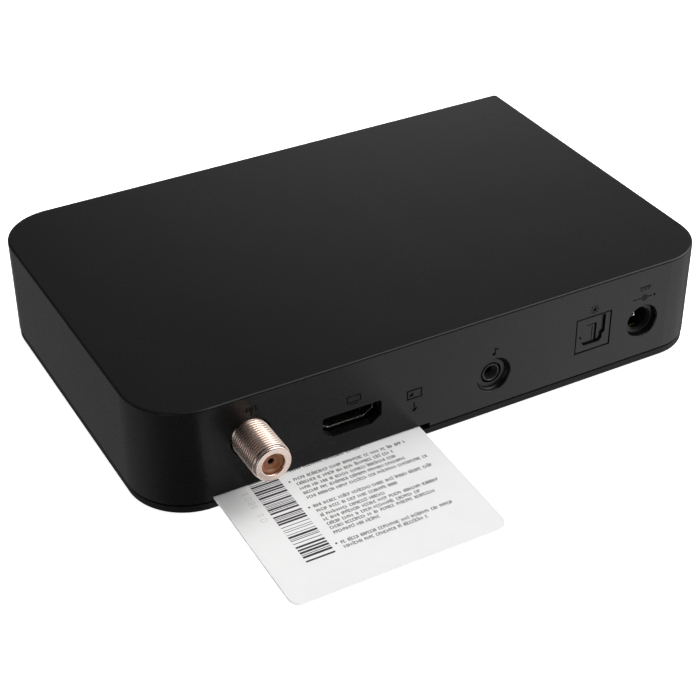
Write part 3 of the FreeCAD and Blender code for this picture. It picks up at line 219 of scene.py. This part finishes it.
MATS["crystal_can"] = metal("crystal_can", (0.76, 0.75, 0.72, 1), (0.66, 0.64, 0.60, 1), 0.25, (1.0, 8.0, 1.0), 0.06, edge=0.0001)


def insulator_material():
    g = Graph("insulator")
    x, y, z = g.axes()
    dx, dz = g.maths("SUBTRACT", x, 0.05247), g.maths("SUBTRACT", z, 0.01741)
    radius = g.maths("SQRT", g.maths("ADD", g.maths("MULTIPLY", dx, dx), g.maths("MULTIPLY", dz, dz)))
    rings = g.maths("SINE", g.maths("MULTIPLY", radius, 13000.0))
    cloud = g.noise(700.0, 4.0, 0.6)
    colour = g.blend(g.span(cloud, 0.3, 0.7, 0.0, 1.0), (0.185, 0.066, 0.023, 1), (0.25, 0.095, 0.036, 1))
    # painted shade: deep in the countersunk hole the insulator is coloured near black and made rougher, standing in for
    # the shade at the hole's bottom
    deep = g.maths("MULTIPLY", g.span(y, 0.05960, 0.06005, 1.0, 0.0), g.span(radius, 0.00078, 0.00092, 1.0, 0.0))
    colour = g.blend(deep, colour, (0.006, 0.004, 0.003, 1))
    rough = g.maths("MULTIPLY_ADD", deep, 0.4, g.maths("MULTIPLY_ADD", cloud, 0.12, 0.27))
    return g.finish(colour, rough, g.bump(rings, 3.0e-6), Specular_IOR_Level=0.5, Subsurface_Weight=0.12, Subsurface_Scale=0.0008)


def board_material():
    """Green solder resist over tracks, with drilled pads."""
    g = Graph("board")
    tracks = g.node("ShaderNodeTexBrick")
    g.link(g.scaled(1.0, 1.0, 1.0), tracks.inputs["Vector"])
    tracks.inputs["Scale"].default_value = 210.0
    tracks.inputs["Mortar Size"].default_value = 0.09
    tracks.inputs["Brick Width"].default_value = 1.9
    tracks.inputs["Row Height"].default_value = 0.35
    pads = g.span(g.cells(330.0), 0.12, 0.16, 1.0, 0.0)
    weave = g.noise(1800.0, 2.0, 0.5)
    mask = g.blend(tracks.outputs["Fac"], (0.012, 0.085, 0.040, 1), (0.020, 0.125, 0.060, 1))
    colour = g.blend(pads, mask, (0.62, 0.60, 0.52, 1))
    x, y, z = g.axes()
    # painted shade: a near-black band along the board's front edge, where it lies in shade under the video shell's
    # mouth
    colour = g.blend(g.span(y, 0.0415, 0.0420, 0.0, 1.0), colour, (0.004, 0.005, 0.004, 1))
    height = g.maths("MULTIPLY_ADD", pads, 0.6, g.maths("MULTIPLY_ADD", tracks.outputs["Fac"], 1.0, g.maths("MULTIPLY", weave, 0.25)))
    return g.finish(colour, g.span(pads, 0.0, 1.0, 0.34, 0.25), g.bump(height, 2.0e-5), Specular_IOR_Level=0.5)


def card_material():
    """White laminated PVC: almost smooth, with a faint orange-peel, and softened edges."""
    g = Graph("card_white")
    mottle = g.noise(160.0, 3.0, 0.5)
    colour = g.blend(g.span(mottle, 0.3, 0.7, 0.0, 1.0), grey(0.765), grey(0.785, (1.0, 1.0, 1.0)))
    peel = g.noise(700.0, 2.0, 0.5)
    rough = g.maths("MULTIPLY_ADD", peel, 0.10, 0.30)
    return g.finish(colour, rough, g.bump(peel, 1.6e-6, 1.0, g.soft_edges(0.00016)), Specular_IOR_Level=0.35)


def ink_material(name, tone, spread):
    """Printed ink with thin places, as a dye print leaves."""
    g = Graph(name)
    worn = g.noise(2600.0, 3.0, 0.6)
    colour = g.blend(g.span(worn, 0.35, 0.75, 0.0, 1.0), grey(tone), grey(tone + spread))
    return g.finish(colour, g.maths("MULTIPLY_ADD", worn, 0.1, 0.36), g.bump(worn, 1.0e-6), Specular_IOR_Level=0.35)


def passive_material():
    g = Graph("passive_body")
    x, y, z = g.axes()
    speck = g.noise(2600.0, 3.0, 0.6)
    band = g.noise(300.0, 0.0, 0.0)
    colour = g.blend(g.span(band, 0.45, 0.55, 0.0, 1.0), (0.36, 0.25, 0.15, 1), (0.02, 0.02, 0.022, 1))
    colour = g.blend(g.span(speck, 0.62, 0.7, 0.0, 1.0), colour, (0.62, 0.61, 0.58, 1))
    return g.finish(colour, g.maths("MULTIPLY_ADD", speck, 0.3, 0.25), g.bump(speck, 6.0e-6), Specular_IOR_Level=0.5)


def clear_material(name, tint, rough, transmission, ior, waves=2.0e-6):
    g = Graph(name)
    swirl = g.noise(90.0, 3.0, 0.5)
    colour = g.blend(g.span(swirl, 0.3, 0.7, 0.0, 1.0), tint, tuple(v * 0.86 for v in tint[:3]) + (1.0,))
    polish = g.maths("MULTIPLY_ADD", g.noise(600.0, 3.0, 0.6), 0.05, rough)
    return g.finish(colour, polish, g.bump(swirl, waves), Transmission_Weight=transmission, IOR=ior)


MATS["insulator"] = insulator_material()
MATS["board"] = board_material()
MATS["card_white"] = card_material()
MATS["passive_body"] = passive_material()
MATS["window_lens"] = clear_material("window_lens", (0.020, 0.006, 0.010, 1), 0.05, 0.25, 1.49, 1.0e-6)
MATS["emitter_clear"] = clear_material("emitter_clear", (0.30, 0.03, 0.03, 1), 0.10, 0.35, 1.5)
MATS["led_lens"] = clear_material("led_lens", (0.62, 0.03, 0.02, 1), 0.08, 0.45, 1.5)
MATS["pipe_clear"] = clear_material("pipe_clear", (0.90, 0.90, 0.90, 1), 0.08, 0.85, 1.49)
LIP_METAL = metal("lip_metal", (0.90, 0.895, 0.88, 1), (0.82, 0.81, 0.79, 1), 0.32, (1.0, 6.0, 1.0), 0.03, 2.0e-7)
RING_BLACK = moulded("ring_black", 0.030, 0.040, 0.32, 4200.0, 2.0e-6, edge=0.0, specular=0.6)
INK = ink_material("card_ink", 0.012, 0.03)
PALE_INK = ink_material("card_pale_ink", 0.50, 0.06)

for part in frame["record"]["subparts"]:
    o = NODES[part["node"]]
    o.data.materials.clear()
    o.data.materials.append(MATS[part["material_slot"]])


# ------------------------------------------------------------------ mesh helpers

def mesh_object(name, verts, faces, material, body, smooth=True, sharp=None):
    me = bpy.data.meshes.new(name)
    me.from_pydata(verts, [], faces)
    me.validate()
    bm = bmesh.new()
    bm.from_mesh(me)
    bmesh.ops.recalc_face_normals(bm, faces=bm.faces)
    bm.to_mesh(me)
    bm.free()
    if smooth:
        me.shade_smooth()
        if sharp is not None:
            me.set_sharp_from_angle(angle=math.radians(sharp))
    o = bpy.data.objects.new(name, me)
    scene.collection.objects.link(o)
    me.materials.append(material)
    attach(o, body)
    return o


def step(t):
    t = min(1.0, max(0.0, t))
    return t * t * (3 - 2 * t)


def turned(name, rows, around, x0, z0, material, body, sharp=40):
    """A closed ring of rows round an axis along Y. A row is (y, radius), in mm; radius may be a function of the angle."""
    verts, faces, n = [], [], len(rows)
    for y, r in rows:
        for k in range(around):
            a = 2 * math.pi * k / around
            rr = r(a) if callable(r) else r
            verts.append(((x0 + rr * math.sin(a)) * MM, y * MM, (z0 + rr * math.cos(a)) * MM))
    for i in range(n):
        j = (i + 1) % n
        for k in range(around):
            m = (k + 1) % around
            faces.append((i * around + k, i * around + m, j * around + m, j * around + k))
    return mesh_object(name, verts, faces, material, body, True, sharp)


# ------------------------------------------------------------------ aerial barrel with a real helical thread

RF_X, RF_Z, RF_END = 52.47, 17.41, 61.45
PITCH, ROOT, CREST, THREAD_Y = 0.79375, 4.27, 4.72, 48.75


def thread_radius(y):
    def at(angle):
        s = ((y - THREAD_Y) / PITCH - angle / (2 * math.pi)) % 1.0
        if s < 0.33:
            h = s / 0.33
        elif s < 0.47:
            h = 1.0
        elif s < 0.80:
            h = (0.80 - s) / 0.33
        else:
            h = 0.0
        h = 0.25 * h + 0.75 * step(h)
        run_in = step((y - THREAD_Y + 0.2) / 1.4)
        run_out = step((RF_END - 0.50 - y) / 0.55)
        nose = 4.46
        cap = CREST - (CREST - nose) * step((y - (RF_END - 1.35)) / 0.7)
        threaded = ROOT + (CREST - ROOT) * h * run_in
        plain = nose - (nose - ROOT) * (1 - step((y - (RF_END - 1.15)) / 0.35)) * 0.0
        r = threaded * run_out + plain * (1 - run_out)
        return min(r, cap)
    return at


rows = [(43.4, 2.8), (43.4, 3.55), (45.97, 3.55), (45.97, 5.92), (46.05, 6.0), (47.22, 6.0), (47.3, 5.92), (47.3, 4.36), (47.38, 4.28), (48.45, 4.28)]
steps = int((RF_END - 0.42 - 48.55) / (PITCH / 16))
rows += [(48.55 + (RF_END - 0.42 - 48.55) * i / steps, None) for i in range(steps + 1)]
rows = [(y, thread_radius(y) if r is None else r) for y, r in rows]
for k in range(9):   # the mouth's outer edge is turned round
    t = math.radians(90 * k / 8)
    rows.append((RF_END - 0.34 + 0.34 * math.sin(t), 4.12 + 0.34 * math.cos(t)))
rows += [(RF_END, 3.8), (RF_END, 3.4), (RF_END, 3.1)]
for k in range(7):
    t = math.radians(90 * k / 6)
    rows.append((RF_END - 0.20 + 0.20 * math.cos(t), 3.0 - 0.20 * math.sin(t)))
rows += [(RF_END - 1.0, 2.8), (50.0, 2.8)]
barrel = turned("rf_barrel_threaded", rows, 160, RF_X, RF_Z, MATS["barrel_metal"], "case", sharp=60)
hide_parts("rf_barrel")

# its insulator: a dished face with steps and a countersunk hole
outline = [(2.74, 44.0), (2.74, -0.83), (2.72, -0.77), (2.66, -0.75), (2.44, -0.75), (2.34, -0.77), (2.26, -0.84), (2.12, -1.06), (2.02, -1.22), (1.94, -1.30),
           (1.84, -1.33), (1.72, -1.32), (1.56, -1.24), (1.42, -1.18), (1.30, -1.16), (1.18, -1.17), (1.06, -1.21), (0.94, -1.28), (0.84, -1.38), (0.76, -1.54),
           (0.72, -1.75), (0.72, 44.0)]
insulator = turned("rf_insulator_dished", [(y if y > 0 else RF_END + y, r) for r, y in outline], 96, RF_X, RF_Z, MATS["insulator"], "case", sharp=60)
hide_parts("rf_insulator")

# the rolled lip of the video socket's shell
def rolled(name, path, y0, radius, around, material, body):
    """A round bead that follows a closed path in a plane across Y. The path is in mm, as (x, z)."""
    verts, faces, n = [], [], len(path)
    for i in range(n):
        p, q, r = Vector(path[i - 1]), Vector(path[i]), Vector(path[(i + 1) % n])
        a, b = (q - p).normalized(), (r - q).normalized()
        t = (a + b).normalized()
        out = Vector((t.y, -t.x)) / max(0.5, a.dot(t))
        for k in range(around):
            w = 2 * math.pi * k / around
            c = q + out * radius * math.cos(w)
            verts.append((c.x * MM, (y0 + radius * math.sin(w)) * MM, c.y * MM))
    for i in range(n):
        j = (i + 1) % n
        for k in range(around):
            m = (k + 1) % around
            faces.append((i * around + k, i * around + m, j * around + m, j * around + k))
    return mesh_object(name, verts, faces, material, body, True, 60)


VX, VZ = 26.64, 12.84
corners = [((-4.84, -2.54), 0.5), ((4.84, -2.54), 0.5), ((7.26, -0.93), 0.4), ((7.26, 2.54), 0.45), ((-7.26, 2.54), 0.45), ((-7.26, -0.93), 0.4)]
path = []
for i, (c, cut) in enumerate(corners):
    c, before, after = Vector(c), Vector(corners[i - 1][0]), Vector(corners[(i + 1) % 6][0])
    start, end = c + (before - c).normalized() * cut, c + (after - c).normalized() * cut
    for k in range(6):
        u = k / 5
        q = start * (1 - u) ** 2 + c * 2 * u * (1 - u) + end * u * u
        path.append((VX + q.x, VZ + q.y))
rolled("video_shell_lip", path, 46.90, 0.20, 14, LIP_METAL, "case")


# the ring of the audio and video jack: a flange deep in the wall's hole, and a slim tube with a rounded lip
AV_X, AV_Z = -12.29, 12.09
rows = [(46.42, 1.8), (46.42, 2.72), (47.95, 2.72), (48.0, 2.67), (48.0, 2.42), (48.05, 2.34), (48.12, 2.31)]
for k in range(11):
    t = math.radians(180 * k / 10)
    rows.append((48.86 + 0.15 * math.sin(t), 2.16 + 0.15 * math.cos(t)))
rows += [(48.2, 2.01), (47.6, 1.98), (47.2, 1.88), (46.9, 1.8)]
ring = turned("av_jack_ring_lipped", rows, 96, AV_X, AV_Z, RING_BLACK, "case", sharp=60)
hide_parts("av_jack_ring")


# ------------------------------------------------------------------ print on the card: bars, outlined marks, and ruled lines of dashes

TILT = math.radians(2.0)
CARD_O = Vector((35.3, 50.0, 4.10))
CARD_E = Vector((0.0, math.cos(TILT), -math.sin(TILT)))
CARD_N = Vector((0.0, math.sin(TILT), math.cos(TILT)))


class Print:
    """Flat ink on the card's upper face, as thin slabs. a runs along X from the card's middle, b outwards from the wall's plane, both in mm."""

    def __init__(self, name, material, thick):
        self.name, self.material, self.thick = name, material, thick
        self.verts, self.faces = [], []

    def shape(self, pts):
        n, base = len(pts), len(self.verts)
        for h in (0.001, self.thick):
            for a, b in pts:
                p = CARD_O + Vector((a, 0.0, 0.0)) + CARD_E * b + CARD_N * h
                self.verts.append(tuple(v * MM for v in p))
        self.faces.append(tuple(base + n + i for i in range(n)))
        self.faces.append(tuple(base + n - 1 - i for i in range(n)))
        for i in range(n):
            j = (i + 1) % n
            self.faces.append((base + i, base + j, base + n + j, base + n + i))

    def bar(self, a0, a1, b0, b1):
        self.shape([(a0, b0), (a1, b0), (a1, b1), (a0, b1)])

    def outline(self, a0, a1, b0, b1, pen, corner):
        """A rounded frame, drawn as a ring of quads."""
        def ring(inset):
            pts = []
            r = max(corner - inset, 0.02)
            for cx, cy, start in ((a1 - inset - r, b1 - inset - r, 0), (a0 + inset + r, b1 - inset - r, 90), (a0 + inset + r, b0 + inset + r, 180), (a1 - inset - r, b0 + inset + r, 270)):
                for k in range(5):
                    t = math.radians(start + k * 22.5)
                    pts.append((cx + r * math.cos(t), cy + r * math.sin(t)))
            return pts
        outer, inner = ring(0.0), ring(pen)
        for i in range(len(outer)):
            j = (i + 1) % len(outer)
            self.shape([outer[i], outer[j], inner[j], inner[i]])

    def make(self):
        return mesh_object(self.name, self.verts, self.faces, self.material, "card", smooth=False)


rng = random.Random(48213)

bars = Print("card_print_bars", INK, 0.012)
b = -13.6
while b < 29.9:
    width = rng.choice((0.16, 0.16, 0.20, 0.20, 0.50, 0.56, 0.62))
    if b + width > 29.95:
        break
    bars.bar(11.35, 18.5, b, b + width)
    b += width + rng.choice((0.24, 0.30, 0.36, 0.50, 0.86))
bars.make()

marks = Print("card_print_marks", PALE_INK, 0.011)
b = -12.0
for group in (3, 4, 4, 2):
    for k in range(group):
        if k % 3 == 1:
            marks.outline(19.75, 21.35, b, b + 1.05, 0.13, 0.3)
        elif k % 3 == 2:
            marks.outline(19.75, 20.50, b, b + 1.05, 0.13, 0.3)
            marks.outline(20.62, 21.35, b, b + 1.05, 0.13, 0.3)
        else:
            marks.outline(19.75, 21.35, b, b + 0.62, 0.13, 0.28)
        b += 1.62
    b += 1.5
marks.make()

lines = Print("card_print_lines", INK, 0.012)
bullets = Print("card_print_bullets", INK, 0.0125)


def dashes(start, end, b, rise=0.92):
    """A line of short strokes in groups, as small print looks from afar. It spells nothing."""
    a = start
    while a > end:
        for _ in range(rng.randint(2, 10)):
            kind, w = rng.random(), 0.17
            if a - 0.55 < end:
                break
            if kind < 0.30:
                lines.bar(a - w, a, b - rise * 0.5, b + rise * 0.5)
                lines.bar(a - 0.44, a - 0.44 + w, b - rise * 0.5, b + rise * rng.choice((0.5, 0.1)))
                lines.bar(a - 0.36, a - w, b - rise * 0.5, b - rise * 0.34)
                a -= 0.60
            elif kind < 0.60:
                lines.bar(a - 0.46, a, b - rise * 0.5, b - rise * 0.32)
                lines.bar(a - 0.46, a, b + rise * 0.32, b + rise * 0.5)
                lines.bar(a - w, a, b - rise * 0.32, b + rise * 0.32)
                a -= 0.62
            elif kind < 0.80:
                lines.bar(a - w, a, b - rise * rng.choice((0.5, 0.85)), b + rise * 0.5)
                a -= 0.30
            else:
                lines.bar(a - 0.40, a, b - 0.09, b + 0.09)
                lines.bar(a - w, a, b - rise * 0.5, b + rise * 0.5)
                a -= 0.56
        a -= 0.52


TEXT = [(7.8, -11.0, 0.15), (8.5, -21.3, 3.3), (8.5, -17.4, 5.05), (8.6, -16.8, 6.8), (8.6, -19.1, 8.5), (8.6, -23.6, 10.2),
        (8.7, -22.6, 13.45), (8.75, -12.3, 15.2), (8.7, -8.3, 16.95), (8.75, -21.0, 18.5), (8.75, -15.7, 20.1), (8.8, -18.9, 21.6), (8.8, -3.0, 23.25),
        (8.9, -20.4, 26.75), (8.95, -12.7, 28.3)]
TEXT += [(8.4, -22.0, b) for b in (-11.8, -10.1, -8.4, -6.7)] + [(8.4, -14.5, -5.0), (7.8, -20.5, -1.6)]
for a0, a1, b in TEXT:
    dashes(a0, a1, b)
for a, b in ((9.65, 3.55), (9.75, 13.4), (9.95, 26.55), (9.6, -11.9)):
    bullets.shape([(a + 0.27 * math.cos(t * math.pi / 6), b + 0.27 * math.sin(t * math.pi / 6)) for t in range(12)])
lines.make()
bullets.make()


# ------------------------------------------------------------------ floor, light and camera

def floor_material(name="floor_paper"):
    g = Graph(name)
    tone = g.noise(3.0, 3.0, 0.5)
    colour = g.blend(g.span(tone, 0.3, 0.7, 0.0, 1.0), grey(0.86), grey(0.88))
    tooth = g.noise(900.0, 2.0, 0.5)
    mat = g.finish(colour, g.maths("MULTIPLY_ADD", tooth, 0.1, 0.7), g.bump(tooth, 1.0e-5), Specular_IOR_Level=0.2, Emission_Strength=0.95)
    g.bsdf.inputs["Emission Color"].default_value = (1, 1, 1, 1)
    return mat


def floor_sheet():
    """A wide sheet of back-lit white paper under the object. It shows, takes soft shadows and lights the pieces softly from below; their gloss sees the studio's own gradient instead."""
    verts, faces, n = [], [], 12
    for i in range(n + 1):
        for k in range(n + 1):
            verts.append((-2.4 + 4.8 * k / n, -2.4 + 4.8 * i / n, 0.0))
    for i in range(n):
        for k in range(n):
            p = i * (n + 1) + k
            faces.append((p, p + 1, p + n + 2, p + n + 1))
    me = bpy.data.meshes.new("floor_sheet")
    me.from_pydata(verts, [], faces)
    me.shade_smooth()
    o = bpy.data.objects.new("floor_sheet", me)
    scene.collection.objects.link(o)
    me.materials.append(floor_material())
    o.visible_glossy = o.visible_shadow = False
    return o


floor_sheet()


def backdrop_ring():
    """Paper of the same kind that stands all round the sheet, far off. It only shows: no light on the pieces comes from it."""
    verts, faces, n = [], [], 48
    for z in (0.0, 1.2, 2.4):
        for i in range(n):
            a = math.tau * i / n
            verts.append((2.35 * math.cos(a), 2.35 * math.sin(a), z))
    for r in range(2):
        for i in range(n):
            k = (i + 1) % n
            faces.append((r * n + k, r * n + i, (r + 1) * n + i, (r + 1) * n + k))
    me = bpy.data.meshes.new("backdrop_ring")
    me.from_pydata(verts, [], faces)
    me.shade_smooth()
    o = bpy.data.objects.new("backdrop_ring", me)
    scene.collection.objects.link(o)
    mat = floor_material("backdrop_paper")
    mat.cycles.emission_sampling = "NONE"
    me.materials.append(mat)
    o.visible_diffuse = o.visible_glossy = o.visible_shadow = o.visible_transmission = False
    return o


backdrop_ring()


def direction(azimuth, elevation):
    a, e = math.radians(azimuth), math.radians(elevation)
    return Vector((math.cos(e) * math.cos(a), math.cos(e) * math.sin(a), math.sin(e)))


def softbox(name, azimuth, elevation, distance, width, height, radiance):
    """A square of soft light that faces the object. Its strength is stated as the brightness of its cloth."""
    data = bpy.data.lights.new(name, "AREA")
    data.shape = "RECTANGLE"
    data.size, data.size_y = width, height
    data.energy = radiance * math.pi * width * height
    o = bpy.data.objects.new(name, data)
    place = direction(azimuth, elevation) * distance
    o.location = place
    o.rotation_euler = (-place).to_track_quat("-Z", "Y").to_euler()
    o.visible_camera = False
    scene.collection.objects.link(o)
    return o


softbox("glint", 106, 42, 0.9, 0.14, 0.14, 7.0)

# the studio round it: broad soft light from one side, high and low, in smooth lobes, and dark elsewhere
world = bpy.data.worlds.new("studio")
scene.world = world
world.use_nodes = True
wt = world.node_tree
background = next(n for n in wt.nodes if n.type == "BACKGROUND")
aim = wt.nodes.new("ShaderNodeTexCoord").outputs["Generated"]
total = None
LOBES = ((160, 50, 10.0, 6.5), (185, 32, 24.0, 3.5), (165, 5, 16.0, 1.3), (0, 85, 10.0, 0.3), (150, 30, 24.0, 0.3), (240, 14, 40.0, 1.10), (235, 25, 12.0, 0.15),
         (325, 35, 7.0, 0.30), (42, -3, 50.0, 2.2), (240, -14, 24.0, 1.3), (252, -18, 24.0, 1.3),
         (117, -36, 60.0, 1.35), (133, -31, 60.0, 2.1), (150, -30, 40.0, 0.95), (175, -30, 14.0, 0.72), (300, -35, 4.0, 0.195), (350, -36, 8.0, 0.32))
for azimuth, elevation, power, amount in LOBES:
    dot = wt.nodes.new("ShaderNodeVectorMath")
    dot.operation = "DOT_PRODUCT"
    dot.inputs[1].default_value = direction(azimuth, elevation)
    wt.links.new(aim, dot.inputs[0])
    above = wt.nodes.new("ShaderNodeMath")
    above.operation = "MAXIMUM"
    wt.links.new(dot.outputs["Value"], above.inputs[0])
    above.inputs[1].default_value = 0.0
    lobe = wt.nodes.new("ShaderNodeMath")
    lobe.operation = "POWER"
    wt.links.new(above.outputs[0], lobe.inputs[0])
    lobe.inputs[1].default_value = power
    add = wt.nodes.new("ShaderNodeMath")
    add.operation = "MULTIPLY_ADD"
    wt.links.new(lobe.outputs[0], add.inputs[0])
    add.inputs[1].default_value = amount
    if total is None:
        add.inputs[2].default_value = 0.0
    else:
        wt.links.new(total, add.inputs[2])
    total = add.outputs[0]
wt.links.new(total, background.inputs["Color"])
background.inputs["Strength"].default_value = 1.0

cam_data = bpy.data.cameras.new("camera")
cam_data.lens = 84.627
cam_data.sensor_width = 36.0
cam_data.sensor_fit = "HORIZONTAL"
cam_data.clip_start = 0.01
cam_data.clip_end = 10.0
camera = bpy.data.objects.new("camera", cam_data)
scene.collection.objects.link(camera)
right = Vector((-0.87580698, 0.48263179, -0.0053557))
down = Vector((0.27705897, 0.49361672, -0.82436695))
forward = Vector((-0.39522203, -0.72347017, -0.56603044))
turn = Matrix((right, -down, -forward)).transposed()
camera.matrix_world = Matrix.Translation((0.17323319, 0.31764825, 0.24188034)) @ turn.to_4x4()
scene.camera = camera
